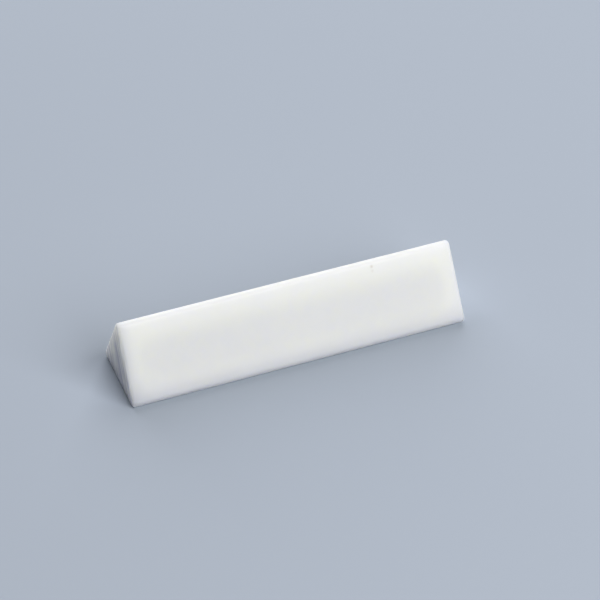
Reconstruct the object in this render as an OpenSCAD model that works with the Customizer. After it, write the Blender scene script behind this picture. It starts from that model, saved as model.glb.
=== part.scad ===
// Magnetic stir bar, triangular prism form: a rod magnet sealed inside a seamless PTFE jacket.
// The bar lies on one flat side. X runs along the bar and Z is up. The origin is the middle
// of the side that it rests on.

/* [Bar] */
// Length over the two end faces
bar_length = 50; // [25:0.5:80]
// Width of one flat side, measured over its two rounded long edges
side_width = 12.2; // [9:0.1:20]
// Radius of the three long edges
long_edge_radius = 0.8; // [0.6:0.05:1.5]
// Radius of the rim around each end face
rim_radius = 0.5; // [0.1:0.05:0.6]

/* [Walls] */
// Jacket wall between the magnet and the middle of each flat side
side_wall = 1.1; // [0.6:0.1:1.5]
// Jacket wall between the magnet and each end face
end_wall = 4; // [1:0.1:6]

/* [Magnet] */
// Bevel around both ends of the magnet
magnet_bevel = 0.3; // [0.1:0.05:0.5]
// Gap between the magnet and its pocket, none where the jacket is moulded onto the magnet
pocket_gap = 0; // [0:0.01:0.1]

/* [Colours] */
// Colour of the jacket
jacket_colour = "#f1f2ef";
// Colour of the magnet
magnet_colour = "#6d6f73";

/* [Hidden] */

// Steps in a full turn of the rounded edges: a multiple of six, so that the arcs meet the flats.
edge_steps = 24;
// Steps in a full turn of the magnet
rod_steps = 96;

// The long edges are arcs about three corner axes, which stand in an equilateral triangle.
corner_angles = [90, 210, 330];
corner_spacing = side_width - 2 * long_edge_radius;
corner_reach = corner_spacing / sqrt(3);

// The bar's own axis is equally far from all three flat sides.
axis_height = corner_reach / 2 + long_edge_radius;

// The magnet fills what the walls leave.
magnet_radius = axis_height - side_wall - pocket_gap;
magnet_length = bar_length - 2 * (end_wall + pocket_gap);

// Puts a shape that is drawn about the Z axis onto the bar's axis.
module on_bar_axis() {
    translate([0, 0, axis_height])
        rotate([90, 0, 90])
            children();
}

// Ring at the end of one long edge: its outside is the long edge's arc, rounded by the rim.
module rim_corner() {
    rotate_extrude($fn = edge_steps)
        translate([long_edge_radius - rim_radius, 0])
            intersection() {
                circle(rim_radius, $fn = edge_steps);
                translate([0, -rim_radius])
                    square(2 * rim_radius);
            }
}

// Outside of the jacket: a skin pulled tight over the six rim corners.
module rounded_prism() {
    rim_centre = bar_length / 2 - rim_radius;
    hull()
        for (corner = corner_angles, end = [-rim_centre, rim_centre])
            rotate(corner)
                translate([corner_reach, 0, end])
                    rim_corner();
}

// Rod with bevelled ends, grown on every side by a gap.
module bevelled_rod(gap) {
    radius = magnet_radius + gap;
    half_length = magnet_length / 2 + gap;
    rotate_extrude($fn = rod_steps)
        polygon([
            [0, -half_length],
            [radius - magnet_bevel, -half_length],
            [radius, magnet_bevel - half_length],
            [radius, half_length - magnet_bevel],
            [radius - magnet_bevel, half_length],
            [0, half_length],
        ]);
}

// Seamless jacket, with the closed pocket that the magnet fills.
module ptfe_jacket() {
    color(jacket_colour)
        on_bar_axis()
            difference() {
                rounded_prism();
                bevelled_rod(pocket_gap);
            }
}

// Rod magnet, magnetised along its length.
module magnet_core() {
    color(magnet_colour)
        on_bar_axis()
            bevelled_rod(0);
}

ptfe_jacket();
magnet_core();
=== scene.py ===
# %% [markdown]
# # A triangular magnetic stir bar
#
# A stir bar is the only part of a laboratory stirrer that touches the liquid. It is a rod magnet
# sealed in PTFE, a white, waxy, chemically inert plastic. A turning magnet under the vessel drags
# the bar round. This one is a three-sided prism: its long edges scrape settled solids off the
# bottom of a flask. It has two pieces, the jacket that shows and the rod inside it.
#
# The sizes come from the construction model, which is loaded first and is never moved.

# %% Load the construction model
import math

import bmesh
import bpy
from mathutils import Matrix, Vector, noise


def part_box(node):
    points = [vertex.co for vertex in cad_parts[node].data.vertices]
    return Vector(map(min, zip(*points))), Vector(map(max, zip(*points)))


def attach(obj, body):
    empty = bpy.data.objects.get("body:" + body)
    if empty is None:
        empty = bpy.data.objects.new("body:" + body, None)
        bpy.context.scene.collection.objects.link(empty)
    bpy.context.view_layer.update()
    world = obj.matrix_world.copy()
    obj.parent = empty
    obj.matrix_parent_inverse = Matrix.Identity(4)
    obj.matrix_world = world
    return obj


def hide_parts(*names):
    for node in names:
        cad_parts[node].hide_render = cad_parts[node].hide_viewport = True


MM = 0.001
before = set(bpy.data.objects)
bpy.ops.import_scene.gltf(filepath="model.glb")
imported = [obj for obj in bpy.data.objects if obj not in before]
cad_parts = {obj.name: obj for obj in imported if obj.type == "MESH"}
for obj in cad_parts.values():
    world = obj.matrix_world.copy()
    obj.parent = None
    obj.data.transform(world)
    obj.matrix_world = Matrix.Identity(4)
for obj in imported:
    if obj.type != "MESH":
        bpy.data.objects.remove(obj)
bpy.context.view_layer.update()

# %% [markdown]
# ## The sizes of the prism
#
# The section is a triangle with equal sides and rounded corners. Its width is the spacing of the
# corner centres plus two radii, and its height is the height of that smaller triangle plus two
# radii. The two differ only through the spacing, so the spacing and the radius follow from them.

# %% Work out the section
jacket_low, jacket_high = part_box("ptfe_jacket")
bar_length = jacket_high.x - jacket_low.x
side_width = jacket_high.y - jacket_low.y
bar_height = jacket_high.z - jacket_low.z
bar_middle = (jacket_low + jacket_high) / 2
TRIANGLE_HEIGHT = math.sqrt(3) / 2
corner_spacing = (side_width - bar_height) / (1 - TRIANGLE_HEIGHT)
long_edge_radius = (side_width - corner_spacing) / 2
corner_reach = corner_spacing / math.sqrt(3)
axis_height = jacket_low.z + long_edge_radius + corner_reach / 2
print("bar length and side, mm:", round(bar_length / MM, 2), round(side_width / MM, 2))
print("long edge radius, mm:", round(long_edge_radius / MM, 3))

# %% [markdown]
# ## The camera
#
# A long lens from about eight bar lengths away keeps the long edges nearly parallel, as in a
# catalogue picture. The camera stands to the left of the front side and looks down on it, so
# that the front side, the ridge and a sliver of the left end all show. The aim lies a little
# right of and above the bar, which leaves the bar low and to the left in the picture.
#
# Directions are given by two angles, for the camera here and for the lamps later: a turn from
# straight in front of the bar toward its right, and a rise above the floor.

# %% Place the camera
CAMERA_TURN = -21.07
CAMERA_RISE = 41.54
CAMERA_LENS = 180.0
CAMERA_SENSOR = 36.0
CAMERA_NEAREST = 0.01
CAMERA_FURTHEST = 20.0
CAMERA_DISTANCE = 8.433 * bar_length
AIM_RIGHT = 0.0387 * bar_length
AIM_UP = 0.0296 * bar_length


def direction(turn, rise):
    """Unit vector from the bar toward a turn and a rise, both in degrees."""
    turn = math.radians(turn)
    rise = math.radians(rise)
    level = math.cos(rise)
    return Vector((math.sin(turn) * level, -math.cos(turn) * level, math.sin(rise)))


toward_camera = direction(CAMERA_TURN, CAMERA_RISE)
camera_turn = toward_camera.to_track_quat("Z", "Y")
picture_right = camera_turn @ Vector((1, 0, 0))
picture_up = camera_turn @ Vector((0, 1, 0))
aim = bar_middle + picture_right * AIM_RIGHT + picture_up * AIM_UP

camera = bpy.data.objects.new("camera", bpy.data.cameras.new("camera"))
camera.data.lens = CAMERA_LENS
camera.data.sensor_width = CAMERA_SENSOR
camera.data.clip_start = CAMERA_NEAREST
camera.data.clip_end = CAMERA_FURTHEST
camera.location = aim + toward_camera * CAMERA_DISTANCE
camera.rotation_mode = "QUATERNION"
camera.rotation_quaternion = camera_turn
bpy.context.scene.collection.objects.link(camera)
bpy.context.scene.camera = camera
print("camera at, mm:", [round(c / MM, 1) for c in camera.location])

# %% [markdown]
# ## Helpers for materials
#
# A material is a small network of nodes. A helper adds a node and fills in its sockets, and a
# socket given in place of a value is linked. The steps that come back all the time, arithmetic,
# mixing and stretching a range, get a helper each, so that a recipe reads in a few lines.

# %% Helpers that add nodes
def fill_inputs(node, inputs):
    """Set the node's input sockets. A socket in place of a value is linked."""
    for name, value in inputs.items():
        socket = node.inputs[name]
        if isinstance(value, bpy.types.NodeSocket):
            node.id_data.links.new(value, socket)
        else:
            socket.default_value = value
    return node


def add_node(tree, kind, inputs=None, **settings):
    """Add a node of this kind to a material or a group."""
    node = tree.nodes.new(kind)
    for name, value in settings.items():
        setattr(node, name, value)
    return fill_inputs(node, inputs or {})


def add_group(tree, group, inputs):
    """Place a shared effect in a material."""
    node = tree.nodes.new("ShaderNodeGroup")
    node.node_tree = group
    return fill_inputs(node, inputs)


def calculate(tree, operation, first, second):
    """One step of arithmetic."""
    node = add_node(tree, "ShaderNodeMath", {0: first, 1: second}, operation=operation)
    return node.outputs[0]


def mix_values(tree, share, first, second):
    """A number between two others."""
    node = add_node(tree, "ShaderNodeMix", {0: share, 2: first, 3: second}, data_type="FLOAT")
    return node.outputs[0]


def mix_colours(tree, share, first, second):
    """A colour between two others."""
    node = add_node(tree, "ShaderNodeMix", {0: share, 6: first, 7: second}, data_type="RGBA")
    return node.outputs[2]


def stretch_range(tree, value, start, end, kind="SMOOTHSTEP"):
    """Carry the range of values in start over to the range in end."""
    node = add_node(
        tree,
        "ShaderNodeMapRange",
        {
            "Value": value,
            "From Min": start[0],
            "From Max": start[1],
            "To Min": end[0],
            "To Max": end[1],
        },
        interpolation_type=kind,
    )
    return node.outputs["Result"]


print("helpers: fill_inputs, add_node, add_group, calculate, mixes and stretch_range")

# %% [markdown]
# ## Starting a group or a material
#
# An effect that both materials use is a group of nodes with named inputs and outputs, built
# once and placed in each with its own values. A material starts with a Principled shader,
# which covers plastic and metal alike, and its recipe begins at the point that is shaded.

# %% Helpers that start a group or a material
def new_group(name, inputs, outputs):
    """Start a shared effect with named inputs and outputs, and return its tree and both ends."""
    tree = bpy.data.node_groups.new(name, "ShaderNodeTree")
    for label, kind, value in inputs:
        socket = tree.interface.new_socket(label, in_out="INPUT", socket_type=kind)
        if value is not None:
            socket.default_value = value
    for label, kind in outputs:
        tree.interface.new_socket(label, in_out="OUTPUT", socket_type=kind)
    start = tree.nodes.new("NodeGroupInput").outputs
    end = tree.nodes.new("NodeGroupOutput").inputs
    return tree, start, end


def new_material(name):
    """Start a material, and return it with its tree and its shader."""
    material = bpy.data.materials.new(name)
    material.use_nodes = True
    tree = material.node_tree
    tree.nodes.clear()
    shader = tree.nodes.new("ShaderNodeBsdfPrincipled")
    output = tree.nodes.new("ShaderNodeOutputMaterial")
    tree.links.new(shader.outputs["BSDF"], output.inputs["Surface"])
    return material, tree, shader


def object_place(tree):
    """The point of the object that is being shaded, in metres."""
    return add_node(tree, "ShaderNodeTexCoord").outputs["Object"]


print("helpers: new_group, new_material and object_place")

# %% [markdown]
# ## Shared effect: cloudy tone
#
# No pressed or cast surface has one even colour. PTFE is pressed from powder and baked, so it
# clouds a little where it is denser, and a cast alloy clouds where it cooled at another pace.
# Two noises of different sizes, mixed, drift between two close colours.

# %% Build the cloudy tone
FINE_PER_WIDE = 6.0
FINE_SHARE = 0.3
CLOUD_RANGE = (0.35, 0.65)


def build_cloudy_tone():
    """Colour that drifts between two tones in patches of a given size."""
    tree, start, end = new_group(
        "cloudy_tone",
        [
            ("Place", "NodeSocketVector", None),
            ("Tone A", "NodeSocketColor", (0.8, 0.8, 0.8, 1)),
            ("Tone B", "NodeSocketColor", (0.7, 0.7, 0.7, 1)),
            ("Patches per Metre", "NodeSocketFloat", 200.0),
        ],
        [("Colour", "NodeSocketColor"), ("Cloud", "NodeSocketFloat")],
    )
    wide = add_node(
        tree,
        "ShaderNodeTexNoise",
        {
            "Vector": start["Place"],
            "Scale": start["Patches per Metre"],
            "Detail": 2.0,
            "Roughness": 0.45,
        },
    )
    fine = add_node(
        tree,
        "ShaderNodeTexNoise",
        {
            "Vector": start["Place"],
            "Scale": calculate(tree, "MULTIPLY", start["Patches per Metre"], FINE_PER_WIDE),
            "Detail": 3.0,
            "Roughness": 0.55,
        },
    )
    both = mix_values(tree, FINE_SHARE, wide.outputs["Fac"], fine.outputs["Fac"])
    cloud = stretch_range(tree, both, CLOUD_RANGE, (0.0, 1.0))
    colour = mix_colours(tree, cloud, start["Tone A"], start["Tone B"])
    tree.links.new(colour, end["Colour"])
    tree.links.new(cloud, end["Cloud"])
    return tree


cloudy_tone = build_cloudy_tone()
print("shared effect:", cloudy_tone.name)

# %% [markdown]
# ## Shared effect: tool lines
#
# A blade, a die or a grinding wheel leaves fine lines that run one way. Noise gives them when
# its coordinates are stretched: many steps across the lines, few along them. The same group
# serves the drawn lines along the jacket, the cut marks on its ends and the grinding on the rod.

# %% Build the tool lines
def build_tool_lines():
    """Height of fine lines. Stretch says how many steps a metre has along each axis."""
    tree, start, end = new_group(
        "tool_lines",
        [
            ("Place", "NodeSocketVector", None),
            ("Stretch", "NodeSocketVector", (1000.0, 20.0, 20.0)),
            ("Detail", "NodeSocketFloat", 4.0),
        ],
        [("Height", "NodeSocketFloat")],
    )
    stretched = add_node(
        tree,
        "ShaderNodeVectorMath",
        {0: start["Place"], 1: start["Stretch"]},
        operation="MULTIPLY",
    )
    lines = add_node(
        tree,
        "ShaderNodeTexNoise",
        {
            "Vector": stretched.outputs["Vector"],
            "Scale": 1.0,
            "Detail": start["Detail"],
            "Roughness": 0.6,
        },
    )
    tree.links.new(lines.outputs["Fac"], end["Height"])
    return tree


tool_lines = build_tool_lines()
print("shared effect:", tool_lines.name)

# %% [markdown]
# ## Shared effect: grains
#
# A few dark grains lie in most pressed or cast stock: a bit of burnt powder in the plastic, a
# pore in the metal, whose darkness is painted shade. A cell pattern gives one centre to each cell,
# and only the few cells that a random number picks out show one.

# %% Build the grains
def build_grains():
    """Mask of small round grains, one in each of the few cells that are picked."""
    tree, start, end = new_group(
        "grains",
        [
            ("Place", "NodeSocketVector", None),
            ("Cells per Metre", "NodeSocketFloat", 300.0),
            ("Share", "NodeSocketFloat", 0.05),
            ("Size in Cell", "NodeSocketFloat", 0.1),
        ],
        [("Mask", "NodeSocketFloat")],
    )
    cells = add_node(
        tree,
        "ShaderNodeTexVoronoi",
        {"Vector": start["Place"], "Scale": start["Cells per Metre"]},
        feature="F1",
    )
    inside = stretch_range(
        tree, cells.outputs["Distance"], (0.0, start["Size in Cell"]), (1.0, 0.0)
    )
    cell_number = add_node(tree, "ShaderNodeSeparateColor", {"Color": cells.outputs["Color"]})
    picked = calculate(tree, "LESS_THAN", cell_number.outputs[0], start["Share"])
    tree.links.new(calculate(tree, "MULTIPLY", inside, picked), end["Mask"])
    return tree


grains = build_grains()
print("shared effect:", grains.name)

# %% [markdown]
# ## The white of the jacket
#
# The plastic is white with a trace of warmth, and it clouds a little. Along the long edges, where
# it is thick, it looks whiter and creamier than over the rod, where the wall is thin. Light that
# goes deep and comes back is one likely reason. Here that light is painted: the white is mixed
# toward a cream by thickness, a painted glow, with the strength found by trial, because the
# scattering alone didn't give enough.
#
# Two values stored on the mesh guide the finish: `cut_end` is one on the cut ends and nothing on
# the sides, and `plastic_depth` is how much plastic lies between the surface and the rod.

# %% Mix the white
# Painted glow: this cream stands in for light scattered back out of thick plastic, not a colour of
# PTFE.
PAINTED_GLOW_CREAM = (0.99, 0.985, 0.87, 1)
PAINTED_GLOW_STRENGTH = 0.8
THICK_RANGE = (1.1 * MM, 3.0 * MM)


def stored_value(tree, name):
    """A value that the mesh holds at each point."""
    return add_node(tree, "ShaderNodeAttribute", attribute_name=name).outputs["Fac"]


def stain(tree, colour, mask, strength, stain_colour):
    """Mix a stain into a colour where the mask says so."""
    amount = calculate(tree, "MULTIPLY", mask, strength)
    return mix_colours(tree, amount, colour, stain_colour)


def paint_glow_on_thick(tree, colour, cut_end):
    """Paint a glow on the thick plastic of the sides: a creamier white that stands in for
    scattered light.
    """
    thick = stretch_range(tree, stored_value(tree, "plastic_depth"), THICK_RANGE, (0.0, 1.0))
    mask = calculate(tree, "MULTIPLY", thick, calculate(tree, "SUBTRACT", 1.0, cut_end))
    return stain(tree, colour, mask, PAINTED_GLOW_STRENGTH, PAINTED_GLOW_CREAM)


print("creamier where the plastic is thicker than, mm:", round(THICK_RANGE[0] / MM, 1))

# %% [markdown]
# ## The specks in the jacket
#
# The plastic holds a few grains of powder that burnt in the oven. This bar also has one brown
# speck near the ridge, with a fainter one just below it. A speck has a place of its own, so its
# mask is the distance from that place, full in the middle and gone at the radius.

# %% Mark the specks
SPECK_ALONG = 0.751
SPECK_DEPTHS = (0.12 * MM, 0.75 * MM)
SPECK_RADIUS = 0.36 * MM
SPECK_STRENGTHS = (0.30, 0.12)
SPECK_BROWN = (0.42, 0.28, 0.20, 1)
GRAINS_PER_METRE = 320.0
GRAIN_SHARE = 0.16
GRAIN_SIZE = 0.075
GRAIN_STRENGTH = 0.10
GRAIN_GREY = (0.45, 0.42, 0.38, 1)
FRONT_RISE = math.radians(30)


def front_point(along, depth):
    """A point on the front side: a share of the length, and a depth below the ridge."""
    ridge = Vector((0, bar_middle.y, axis_height + corner_reach))
    outward = Vector((0, -math.cos(FRONT_RISE), math.sin(FRONT_RISE)))
    downward = Vector((0, -math.sin(FRONT_RISE), -math.cos(FRONT_RISE)))
    point = ridge + outward * long_edge_radius + downward * depth
    point.x = jacket_low.x + along * bar_length
    return point


def speck_mask(tree, place, centre):
    """One soft round speck."""
    away = add_node(tree, "ShaderNodeVectorMath", {0: place, 1: centre}, operation="DISTANCE")
    return stretch_range(tree, away.outputs["Value"], (0.0, SPECK_RADIUS), (1.0, 0.0))


def mark_specks(tree, place, colour):
    """Stain the white with its grains and the two specks."""
    burnt = add_group(
        tree,
        grains,
        {
            "Place": place,
            "Cells per Metre": GRAINS_PER_METRE,
            "Share": GRAIN_SHARE,
            "Size in Cell": GRAIN_SIZE,
        },
    )
    colour = stain(tree, colour, burnt.outputs["Mask"], GRAIN_STRENGTH, GRAIN_GREY)
    for depth, strength in zip(SPECK_DEPTHS, SPECK_STRENGTHS):
        mask = speck_mask(tree, place, front_point(SPECK_ALONG, depth))
        colour = stain(tree, colour, mask, strength, SPECK_BROWN)
    return colour


print("speck at, mm:", [round(c / MM, 2) for c in front_point(SPECK_ALONG, SPECK_DEPTHS[0])])

# %% [markdown]
# ## The marks of the die and the blade
#
# The sides took very fine lines along the bar from the die that formed them. The ends were cut by
# a blade, which leaves coarser lines that lean, and the raised lines are greyed: partly blade
# smear, partly painted shade. The bluish grey stands in for shade and blue bounced light, and it
# is heaviest on the left end, which lies in shade. Both sets of lines come from the shared tool
# lines. For the blade the place is turned by its lean first, so that the lines run with it. It
# is also shifted by a given distance, so that a wide grey band, partly painted shade, lies near
# the front side. The left end carries most of the greying.

# %% Lay the tool marks
BLADE_LEAN = math.radians(22)
# Shifts the wide grey band, partly painted shade, toward the front side.
BLADE_SHIFT = 23.1 * MM
BLADE_STRETCH = (10.0, 1500.0, 120.0)
BLADE_DETAIL = 5.0
DIE_STRETCH = (25.0, 2600.0, 2600.0)
DIE_DETAIL = 3.0
SMEAR_AND_SHADE_HEIGHTS = (0.37, 0.62)
# Painted shade and smear: the bluish grey stands in for shade and blue bounced light as well as
# blade smear.
SMEAR_AND_SHADE_BLUE_GREY = (0.42, 0.41, 0.55, 1)
# Painted shade: the left end, which lies in shade, is greyed most.
LEFT_SMEAR_AND_SHADE = 0.62
RIGHT_SMEAR_AND_SHADE = 0.22


def die_lines(tree, place):
    """Height of the fine lines along the sides."""
    lines = add_group(
        tree, tool_lines, {"Place": place, "Stretch": DIE_STRETCH, "Detail": DIE_DETAIL}
    )
    return lines.outputs["Height"]


def blade_lines(tree, place):
    """Height of the coarser lines across the ends."""
    turned = add_node(
        tree,
        "ShaderNodeMapping",
        {
            "Vector": place,
            "Rotation": (BLADE_LEAN, 0.0, 0.0),
            "Location": (0.0, BLADE_SHIFT, 0.0),
        },
    )
    lines = add_group(
        tree,
        tool_lines,
        {
            "Place": turned.outputs["Vector"],
            "Stretch": BLADE_STRETCH,
            "Detail": BLADE_DETAIL,
        },
    )
    return lines.outputs["Height"]


def smear_and_shade_ends(tree, place, colour, cut, cut_end):
    """Grey the raised lines of the cut ends with smear and painted shade, the left one more than
    the right.
    """
    raised = stretch_range(tree, cut, SMEAR_AND_SHADE_HEIGHTS, (0.0, 1.0))
    mask = calculate(tree, "MULTIPLY", raised, cut_end)
    along = add_node(tree, "ShaderNodeSeparateXYZ", {"Vector": place}).outputs["X"]
    ends = (jacket_low.x, jacket_high.x)
    strength = stretch_range(tree, along, ends, (LEFT_SMEAR_AND_SHADE, RIGHT_SMEAR_AND_SHADE), "LINEAR")
    return stain(tree, colour, mask, strength, SMEAR_AND_SHADE_BLUE_GREY)


print("blade lean, degrees:", round(math.degrees(BLADE_LEAN), 1))

# %% [markdown]
# ## The finish of the jacket
#
# PTFE lets light in and scatters it back out a millimetre or so away, which softens every edge
# and makes the ridge glow. Subsurface scattering does that. Light that reaches the rod is lost,
# so the distance that it may travel is a fixed multiple of the plastic in front of the rod. The
# plastic bends light little, so its gloss is weak and satin. Its cut ends are rougher than its
# sides.

# %% Make the jacket finish
WARM_WHITE = (0.888, 0.886, 0.850, 1)
COOL_WHITE = (0.872, 0.874, 0.850, 1)
WHITE_PATCHES = 170.0
GLOW_PER_DEPTH = 1.3
GLOW_COLOURS = (1.0, 0.98, 0.80)
PTFE_INDEX = 1.35
LINE_DEPTH = 0.03 * MM
LINE_STRENGTH = 0.8
SIDE_LINE_SHARE = 0.12
SIDE_ROUGHNESS = (0.36, 0.44)
END_ROUGHNESS = (0.50, 0.68)


def make_jacket_finish():
    """White satin PTFE with drawn sides and cut ends."""
    material, tree, shader = new_material("white_ptfe")
    place = object_place(tree)
    cut_end = stored_value(tree, "cut_end")
    tone = add_group(
        tree,
        cloudy_tone,
        {
            "Place": place,
            "Tone A": WARM_WHITE,
            "Tone B": COOL_WHITE,
            "Patches per Metre": WHITE_PATCHES,
        },
    )
    drawn = die_lines(tree, place)
    cut = blade_lines(tree, place)
    # Painted glow: the thick long edges are mixed toward cream in place of scattered light.
    colour = paint_glow_on_thick(tree, tone.outputs["Colour"], cut_end)
    colour = mark_specks(tree, place, colour)
    # Blade smear with painted shade on the ends, most on the left.
    colour = smear_and_shade_ends(tree, place, colour, cut, cut_end)

    height = mix_values(tree, cut_end, drawn, cut)
    faint_on_sides = mix_values(tree, cut_end, SIDE_LINE_SHARE, 1.0)
    bump = add_node(
        tree,
        "ShaderNodeBump",
        {
            "Height": calculate(tree, "MULTIPLY", height, faint_on_sides),
            "Strength": LINE_STRENGTH,
            "Distance": LINE_DEPTH,
        },
    )
    satin = stretch_range(tree, tone.outputs["Cloud"], (0.0, 1.0), SIDE_ROUGHNESS, "LINEAR")
    rough = stretch_range(tree, cut, (0.0, 1.0), END_ROUGHNESS, "LINEAR")
    glow = calculate(tree, "MULTIPLY", stored_value(tree, "plastic_depth"), GLOW_PER_DEPTH)
    shader.subsurface_method = "RANDOM_WALK"
    fill_inputs(
        shader,
        {
            "Base Color": colour,
            "Normal": bump.outputs["Normal"],
            "Roughness": mix_values(tree, cut_end, satin, rough),
            "IOR": PTFE_INDEX,
            "Subsurface Weight": 1.0,
            "Subsurface Radius": GLOW_COLOURS,
            "Subsurface Scale": glow,
        },
    )
    return material


jacket_finish = make_jacket_finish()
print("finish:", jacket_finish.name)

# %% [markdown]
# ## The jacket's outline
#
# The outline of the section is three flats joined by three arcs. Each of its points is kept as
# a base point and an outward direction, so one line of arithmetic gives the outline at any
# inset: base + direction x (radius - inset). The rounded rims at the ends are then the same
# outline, pulled in step by step.

# %% Lay out the section
CORNER_ANGLES = [math.radians(angle) for angle in (90, 210, 330)]
CORNER_TURN = math.radians(120)
ARC_STEPS = 20
FLAT_STEPS = 36


def in_section(angle, reach):
    """A point of the section, at an angle and a reach from the bar's axis."""
    y = bar_middle.y + math.cos(angle) * reach
    z = axis_height + math.sin(angle) * reach
    return Vector((0, y, z))


def section_outline():
    """Base point and outward direction of each outline point, anticlockwise from the right."""
    outline = []
    for number, angle in enumerate(CORNER_ANGLES):
        centre = in_section(angle, corner_reach)
        for step in range(ARC_STEPS):
            lean = angle + CORNER_TURN * (step / ARC_STEPS - 0.5)
            outline.append((centre, Vector((0, math.cos(lean), math.sin(lean)))))
        next_centre = in_section(CORNER_ANGLES[(number + 1) % 3], corner_reach)
        flat_angle = angle + CORNER_TURN / 2
        flat_out = Vector((0, math.cos(flat_angle), math.sin(flat_angle)))
        for step in range(FLAT_STEPS):
            share = step / FLAT_STEPS
            outline.append((centre.lerp(next_centre, share), flat_out))
    return outline


outline = section_outline()
print("outline points:", len(outline))

# %% [markdown]
# ## Where the real surface strays
#
# The sides of a real bar aren't perfectly flat, and a blade leaves shallow waves on the ends.
# Slow noise sinks each point by up to a few hundredths of a millimetre. It only ever sinks, so
# the bar keeps its size.

# %% Sink the surfaces a little
SIDE_WAVE = 0.035 * MM
SIDE_WAVE_LENGTH = 9 * MM
SIDE_WAVE_WIDTH = 5 * MM
END_WAVE = 0.03 * MM
END_WAVE_LENGTH = 9 * MM
END_WAVE_WIDTH = 0.9 * MM


def noise_share(spot):
    """Smooth noise between nothing and one."""
    return 0.5 + 0.5 * noise.noise(spot)


def side_sink(point):
    """How far the side lies below its true surface."""
    spot = Vector(
        (
            point.x / SIDE_WAVE_LENGTH,
            point.y / SIDE_WAVE_WIDTH,
            point.z / SIDE_WAVE_WIDTH,
        )
    )
    return SIDE_WAVE * noise_share(spot)


def end_sink(point):
    """How deep the waves of the end are, which run with the blade."""
    across = point.y * math.cos(BLADE_LEAN) - point.z * math.sin(BLADE_LEAN)
    along = point.y * math.sin(BLADE_LEAN) + point.z * math.cos(BLADE_LEAN)
    spot = Vector((across / END_WAVE_WIDTH, along / END_WAVE_LENGTH, point.x / MM))
    return END_WAVE * noise_share(spot)


print("deepest side and end wave, mm:", SIDE_WAVE / MM, END_WAVE / MM)

# %% [markdown]
# ## The rings of the skin
#
# The skin is a row of outlines along the bar. A quarter circle of small steps rounds each rim,
# long even steps cover the sides, and shrinking rings close the ends. Each point of an end also
# gets its `cut_end` value, which fades out early on the rim, because the blade touched only the
# end. Side -1 is the left end and side 1 the right one.

# %% Make one ring
RIM_RADIUS = 0.5 * MM
CUT_FADE = 0.4


def end_plane(side):
    """The x of an end."""
    return jacket_high.x if side > 0 else jacket_low.x


def add_point(mesh, point, cut_share):
    """Add a point, with the share of the cut end in its finish."""
    vert = mesh.verts.new(point)
    vert[mesh.verts.layers.float["cut_end"]] = cut_share
    return vert


def end_ring(mesh, side, share):
    """One ring of a flat end, shrunk toward the bar's axis."""
    ring = []
    axis = Vector((end_plane(side), bar_middle.y, axis_height))
    for base, out in outline:
        edge = base + out * (long_edge_radius - RIM_RADIUS)
        edge.x = axis.x
        point = axis.lerp(edge, share)
        point.x -= side * end_sink(point)
        ring.append(add_point(mesh, point, 1.0))
    return ring


def rim_ring(mesh, side, turn):
    """One outline on a rim. Turn runs from 0 on the end to a right angle on the sides."""
    ring = []
    on_side = math.sin(turn)
    from_end = 1 - math.cos(turn)
    cut_share = max(0.0, 1.0 - from_end / CUT_FADE)
    for base, out in outline:
        point = base + out * (long_edge_radius - RIM_RADIUS * (1 - on_side))
        point.x = end_plane(side) - side * RIM_RADIUS * from_end
        point -= out * side_sink(point) * on_side
        point.x -= side * end_sink(point) * (1 - on_side)
        ring.append(add_point(mesh, point, cut_share))
    return ring


def side_ring(mesh, share):
    """One outline on the sides, at a share of the way from the left rim to the right one."""
    ring = []
    x = jacket_low.x + RIM_RADIUS + (bar_length - 2 * RIM_RADIUS) * share
    for base, out in outline:
        point = base + out * long_edge_radius
        point.x = x
        point -= out * side_sink(point)
        ring.append(add_point(mesh, point, 0.0))
    return ring


print("rim radius, mm:", RIM_RADIUS / MM)

# %% [markdown]
# ## The skin of the jacket
#
# Neighbouring rings are joined by four-sided faces, and a fan closes the last small ring at each
# end. The right end of this bar was cut slightly off square: its top stands about 0.4 mm short
# of its foot. All points are slanted by a share that grows from nothing at the left end.

# %% Build the skin
RIM_STEPS = 10
SIDE_STEPS = 170
END_RINGS = 44
END_LEAN = math.radians(1.95)


def join_rings(mesh, first, second):
    """Close the band between two rings with four-sided faces."""
    count = len(first)
    for number in range(count):
        following = (number + 1) % count
        mesh.faces.new((first[number], first[following], second[following], second[number]))


def close_ring(mesh, ring, flip):
    """Close the last small ring with a fan round one middle point."""
    middle = mesh.verts.new(sum((vert.co for vert in ring), Vector()) / len(ring), ring[0])
    count = len(ring)
    for number in range(count):
        pair = (ring[number], ring[(number + 1) % count])
        mesh.faces.new((pair[1], pair[0], middle) if flip else (pair[0], pair[1], middle))


def skin_rings(mesh):
    """Every ring of the outer skin, from the left end's middle to the right end's."""
    shrunk = [step / END_RINGS for step in range(1, END_RINGS)]
    quarter = [math.radians(90) * step / RIM_STEPS for step in range(RIM_STEPS + 1)]
    left = [end_ring(mesh, -1, share) for share in shrunk]
    left += [rim_ring(mesh, -1, turn) for turn in quarter]
    sides = [side_ring(mesh, step / SIDE_STEPS) for step in range(1, SIDE_STEPS)]
    right = [rim_ring(mesh, 1, turn) for turn in reversed(quarter)]
    right += [end_ring(mesh, 1, share) for share in reversed(shrunk)]
    return left + sides + right


def lean_right_end(mesh):
    """Slant the right end and leave the left one square."""
    for vert in mesh.verts:
        along = (vert.co.x - jacket_low.x) / bar_length
        vert.co.x -= along * math.tan(END_LEAN) * (vert.co.z - jacket_low.z)


jacket_mesh = bmesh.new()
jacket_mesh.verts.layers.float.new("cut_end")
rings = skin_rings(jacket_mesh)
lean_right_end(jacket_mesh)
for first, second in zip(rings, rings[1:]):
    join_rings(jacket_mesh, first, second)
close_ring(jacket_mesh, rings[0], flip=True)
close_ring(jacket_mesh, rings[-1], flip=False)
print("skin faces:", len(jacket_mesh.faces))

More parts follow.
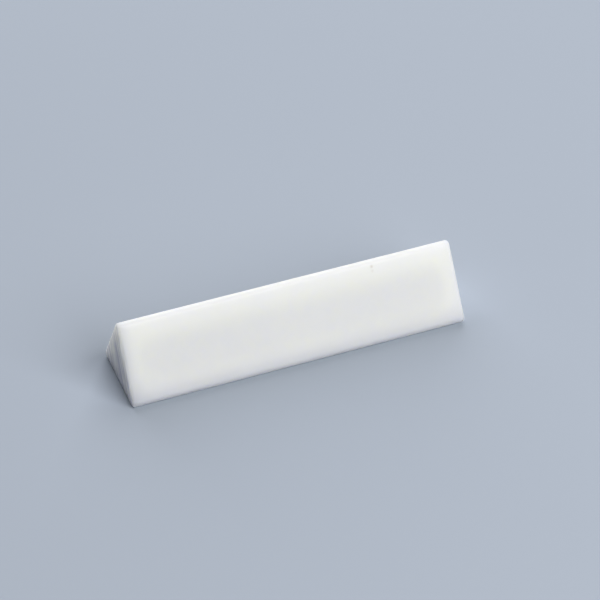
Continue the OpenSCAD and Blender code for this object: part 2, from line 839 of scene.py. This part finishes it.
# %% [markdown]
# ## The pocket for the rod
#
# The jacket is baked round the rod, so the pocket is the rod's own shape: a round bore with
# bevelled ends, closed all round. Its faces look inward. It matters for the looks too: light
# that scatters through the plastic stops at the dark rod.

# %% Build the pocket
core_low, core_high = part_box("magnet_core")
core_radius = (core_high.z - core_low.z) / 2
core_axis = (core_low + core_high) / 2
CORE_BEVEL = 0.3 * MM
ROUND_STEPS = 96
BEVEL_STEPS = 4
POCKET_SIDE_STEPS = 40


def rod_rings(mesh, x_steps, radius_at):
    """Circles round the rod's axis, one at each x, with the radius that radius_at gives."""
    rings = []
    for x in x_steps:
        radius = radius_at(x)
        ring = []
        for step in range(ROUND_STEPS):
            turn = 2 * math.pi * step / ROUND_STEPS
            y = core_axis.y + math.cos(turn) * radius
            z = core_axis.z + math.sin(turn) * radius
            ring.append(mesh.verts.new((x, y, z)))
        rings.append(ring)
    return rings


def rod_profile(x):
    """Radius of the bevelled rod at x."""
    from_end = min(x - core_low.x, core_high.x - x)
    return core_radius - max(0.0, CORE_BEVEL - from_end)


def rod_stations(side_steps):
    """Where the rod's circles lie: close together on the bevels, even along the side."""
    bevel = [CORE_BEVEL * step / BEVEL_STEPS for step in range(BEVEL_STEPS)]
    straight = core_high.x - core_low.x - 2 * CORE_BEVEL
    left = [core_low.x + step for step in bevel]
    middle = [core_low.x + CORE_BEVEL + straight * n / side_steps for n in range(side_steps + 1)]
    right = [core_high.x - step for step in reversed(bevel)]
    return left + middle + right


pocket = rod_rings(jacket_mesh, rod_stations(POCKET_SIDE_STEPS), rod_profile)
for first, second in zip(pocket, pocket[1:]):
    join_rings(jacket_mesh, second, first)
close_ring(jacket_mesh, pocket[0], flip=False)
close_ring(jacket_mesh, pocket[-1], flip=True)
print("skin and pocket faces:", len(jacket_mesh.faces))

# %% [markdown]
# ## The jacket piece
#
# The mesh becomes an object with smooth shading. It stands in for the plain construction node,
# which is hidden, rides with the bar's one body and holds its finish in its material slot. Then
# it stores how much plastic lies in front of the rod at each point, which the finish reads.

# %% Turn the mesh into the jacket
def finish_piece(mesh, name, material, node):
    """Make the object, hide its construction node and attach it to the bar's body."""
    data = bpy.data.meshes.new(name)
    mesh.to_mesh(data)
    mesh.free()
    data.materials.append(material)
    data.shade_smooth()
    piece = bpy.data.objects.new(name, data)
    bpy.context.scene.collection.objects.link(piece)
    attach(piece, "root")
    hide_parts(node)
    return piece


def mark_depth(piece):
    """Store how much plastic lies between each point and the rod."""
    marks = piece.data.attributes.new("plastic_depth", "FLOAT", "POINT")
    for vert in piece.data.vertices:
        beyond_end = max(core_low.x - vert.co.x, vert.co.x - core_high.x, 0.0)
        from_axis = math.hypot(vert.co.y - core_axis.y, vert.co.z - core_axis.z)
        beyond_side = max(from_axis - core_radius, 0.0)
        marks.data[vert.index].value = math.hypot(beyond_end, beyond_side)


def count_triangles(piece):
    """Triangles in a piece, when each face is cut into triangles."""
    return sum(len(face.vertices) - 2 for face in piece.data.polygons)


jacket = finish_piece(jacket_mesh, "jacket", jacket_finish, "ptfe_jacket")
mark_depth(jacket)
print("jacket triangles:", count_triangles(jacket))

# %% [markdown]
# ## The finish of the rod
#
# The rod is Alnico, a cast magnet alloy of aluminium, nickel and cobalt with iron. It is ground
# to size, which leaves fine lines round it and a dull grey shine. Small pores from the casting
# are pits in the bump, and their near black is painted shade. The jacket hides it, but it is
# finished like the rest.

# %% Make the rod finish
LIGHT_METAL = (0.33, 0.33, 0.34, 1)
DARK_METAL = (0.25, 0.25, 0.26, 1)
METAL_PATCHES = 260.0
PORES_PER_METRE = 900.0
PORE_SHARE = 0.3
PORE_SIZE = 0.16
# Painted shade: the near black inside the pores.
PAINTED_PORE_SHADE = (0.07, 0.068, 0.066, 1)
GRIND_STRETCH = (9000.0, 120.0, 120.0)
GRIND_DETAIL = 4.0
GRIND_DEPTH = 0.02 * MM
GRIND_STRENGTH = 0.6
METAL_ROUGHNESS = (0.34, 0.52)


def make_rod_finish():
    """Ground cast alloy."""
    material, tree, shader = new_material("ground_alnico")
    place = object_place(tree)
    tone = add_group(
        tree,
        cloudy_tone,
        {
            "Place": place,
            "Tone A": LIGHT_METAL,
            "Tone B": DARK_METAL,
            "Patches per Metre": METAL_PATCHES,
        },
    )
    pores = add_group(
        tree,
        grains,
        {
            "Place": place,
            "Cells per Metre": PORES_PER_METRE,
            "Share": PORE_SHARE,
            "Size in Cell": PORE_SIZE,
        },
    ).outputs["Mask"]
    ground = add_group(
        tree, tool_lines, {"Place": place, "Stretch": GRIND_STRETCH, "Detail": GRIND_DETAIL}
    ).outputs["Height"]
    bump = add_node(
        tree,
        "ShaderNodeBump",
        {
            "Height": calculate(tree, "SUBTRACT", ground, pores),
            "Strength": GRIND_STRENGTH,
            "Distance": GRIND_DEPTH,
        },
    )
    fill_inputs(
        shader,
        {
            # Painted shade in the pores.
            "Base Color": stain(tree, tone.outputs["Colour"], pores, 1.0, PAINTED_PORE_SHADE),
            "Normal": bump.outputs["Normal"],
            "Roughness": stretch_range(tree, ground, (0.0, 1.0), METAL_ROUGHNESS, "LINEAR"),
            "Metallic": 1.0,
        },
    )
    return material


rod_finish = make_rod_finish()
print("finish:", rod_finish.name)

# %% [markdown]
# ## The rod
#
# The rod has the bevels of the pocket and a side that grinding left very slightly wavy. It is
# built from circles in the same way, with more of them for the waves and its faces outward.

# %% Build the rod
ROD_SIDE_STEPS = 120
ROD_WAVE = 0.008 * MM
ROD_WAVE_LENGTH = 2.5 * MM


def ground_profile(x):
    """Radius of the rod at x, a few thousandths of a millimetre under its pocket's."""
    return rod_profile(x) - ROD_WAVE * noise_share(Vector((x / ROD_WAVE_LENGTH, 0, 0)))


rod_mesh = bmesh.new()
rod = rod_rings(rod_mesh, rod_stations(ROD_SIDE_STEPS), ground_profile)
for first, second in zip(rod, rod[1:]):
    join_rings(rod_mesh, first, second)
close_ring(rod_mesh, rod[0], flip=True)
close_ring(rod_mesh, rod[-1], flip=False)
magnet = finish_piece(rod_mesh, "magnet_rod", rod_finish, "magnet_core")
print("rod triangles:", count_triangles(magnet))

# %% [markdown]
# ## The floor
#
# The bar lies on a plain pale sheet. The sheet is matt, so it shows the soft shadow that grounds
# the bar and no bright reflection of a lamp. From 7 to 18 cm out from the bar's middle it fades
# into the plain colour of the backdrop, so that hardly any horizon shows from low down. Only a ray
# that looks, is mirrored or passes through sees that colour, so no scattered light comes from it.

# %% Lay the floor
FLOOR_RADIUS = 4.0
FLOOR_COLOUR = (0.44, 0.49, 0.57, 1)
BACKDROP_COLOUR = (0.47, 0.52, 0.60, 1)
FADE = (0.07, 0.18)
FLOOR_SIDES = 96


def seen_directly(tree):
    """One for a ray that looks, reflects or passes through, and nothing for scattered light."""
    path = add_node(tree, "ShaderNodeLightPath").outputs
    beyond = calculate(tree, "MAXIMUM", path["Is Glossy Ray"], path["Is Transmission Ray"])
    return calculate(tree, "MAXIMUM", path["Is Camera Ray"], beyond)


def make_floor_finish():
    """Matt sheet near the bar, which fades into the backdrop further out."""
    material, tree, shader = new_material("pale_sheet")
    fill_inputs(
        shader, {"Base Color": FLOOR_COLOUR, "Roughness": 1.0, "Specular IOR Level": 0.0}
    )
    away = add_node(tree, "ShaderNodeVectorMath", {0: object_place(tree)}, operation="LENGTH")
    far = stretch_range(tree, away.outputs["Value"], FADE, (0.0, 1.0))
    plain = add_node(tree, "ShaderNodeEmission", {"Color": BACKDROP_COLOUR, "Strength": 1.0})
    share = calculate(tree, "MULTIPLY", far, seen_directly(tree))
    both = add_node(
        tree, "ShaderNodeMixShader", {0: share, 1: shader.outputs["BSDF"], 2: plain.outputs[0]}
    )
    output = tree.nodes["Material Output"]
    tree.links.new(both.outputs[0], output.inputs["Surface"])
    return material


def lay_floor():
    """A round sheet at the height that the bar rests on."""
    sheet = bmesh.new()
    bmesh.ops.create_circle(sheet, cap_ends=True, radius=FLOOR_RADIUS, segments=FLOOR_SIDES)
    data = bpy.data.meshes.new("floor")
    sheet.to_mesh(data)
    sheet.free()
    data.materials.append(make_floor_finish())
    floor = bpy.data.objects.new("floor", data)
    floor.location.z = jacket_low.z
    bpy.context.scene.collection.objects.link(floor)


lay_floor()
print("floor radius, m:", FLOOR_RADIUS)

# %% [markdown]
# ## The lamps
#
# Two large soft lamps light the bar. The one behind it shines into the back side, and its light
# comes out along the ridge as a glow, which shows that the plastic lets light through. The one in
# front, high and to the right, lights the front side evenly and leaves the left end in shade.

# %% Hang the lamps
LAMP_DISTANCE = 0.6
TOWARD_BACK_LAMP = direction(170, 38)
BACK_LAMP_SIZE = 0.70
BACK_LAMP_WATTS = 3.9
TOWARD_FRONT_LAMP = direction(26, 40)
FRONT_LAMP_SIZE = 0.50
FRONT_LAMP_WATTS = 3.3


def hang_lamp(name, toward_lamp, size, watts):
    """A square soft lamp that faces the bar and isn't seen itself."""
    lamp = bpy.data.objects.new(name, bpy.data.lights.new(name, "AREA"))
    lamp.data.shape = "SQUARE"
    lamp.data.size = size
    lamp.data.energy = watts
    lamp.location = bar_middle + toward_lamp * LAMP_DISTANCE
    lamp.rotation_mode = "QUATERNION"
    lamp.rotation_quaternion = toward_lamp.to_track_quat("Z", "Y")
    lamp.visible_camera = False
    bpy.context.scene.collection.objects.link(lamp)
    return lamp


back_lamp = hang_lamp("back_lamp", TOWARD_BACK_LAMP, BACK_LAMP_SIZE, BACK_LAMP_WATTS)
front_lamp = hang_lamp("front_lamp", TOWARD_FRONT_LAMP, FRONT_LAMP_SIZE, FRONT_LAMP_WATTS)
print("lamps:", back_lamp.name, "and", front_lamp.name)

# %% [markdown]
# ## The world
#
# The world adds a very weak light from everywhere, so that no shade is quite black. A ray that
# looks at it sees the same backdrop colour as the far floor.

# %% Make the world
FILL_LIGHT = 0.05


def make_world():
    """Weak even light, and the pale backdrop for a ray that looks."""
    world = bpy.data.worlds.new("studio")
    world.use_nodes = True
    tree = world.node_tree
    tree.nodes.clear()
    fill = add_node(tree, "ShaderNodeBackground", {"Color": (1, 1, 1, 1), "Strength": FILL_LIGHT})
    backdrop = add_node(tree, "ShaderNodeBackground", {"Color": BACKDROP_COLOUR, "Strength": 1.0})
    either = add_node(
        tree,
        "ShaderNodeMixShader",
        {0: seen_directly(tree), 1: fill.outputs[0], 2: backdrop.outputs[0]},
    )
    add_node(tree, "ShaderNodeOutputWorld", {"Surface": either.outputs[0]})
    return world


bpy.context.scene.world = make_world()
bpy.context.scene.view_settings.view_transform = "Standard"
print("world:", bpy.context.scene.world.name)
